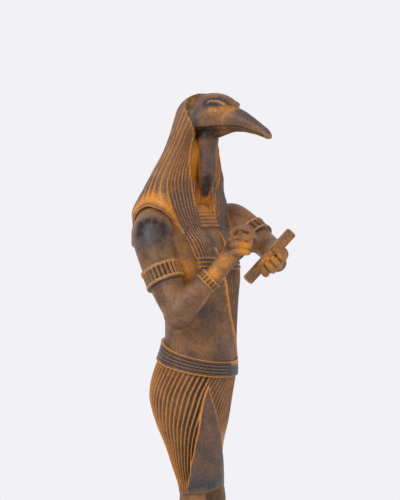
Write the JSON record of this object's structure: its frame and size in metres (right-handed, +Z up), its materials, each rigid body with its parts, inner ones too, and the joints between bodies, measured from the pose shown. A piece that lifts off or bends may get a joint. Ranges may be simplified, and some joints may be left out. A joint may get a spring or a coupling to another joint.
{
  "type": "ibis-headed figure statue",
  "caption": "Standing ibis-headed Egyptian figure with striped wig, pleated kilt, writing palette and raised reed hand, cast in one with a low rectangular base.",
  "frame": {"origin": "centre of the base's flat underside", "axes": "+Z up along the figure; the figure faces -Y, its own right hand is towards -X"},
  "size_m": [0.0833, 0.0899, 0.304],
  "materials": {
    "patinated_cast_stone": "resin cast with stone powder, dark slate and brown paint rubbed back, ochre rust left in the recesses, matt with a faint sheen"
  },
  "bodies": {
    "root": {"statue": "patinated_cast_stone"}
  },
  "joints": []
}
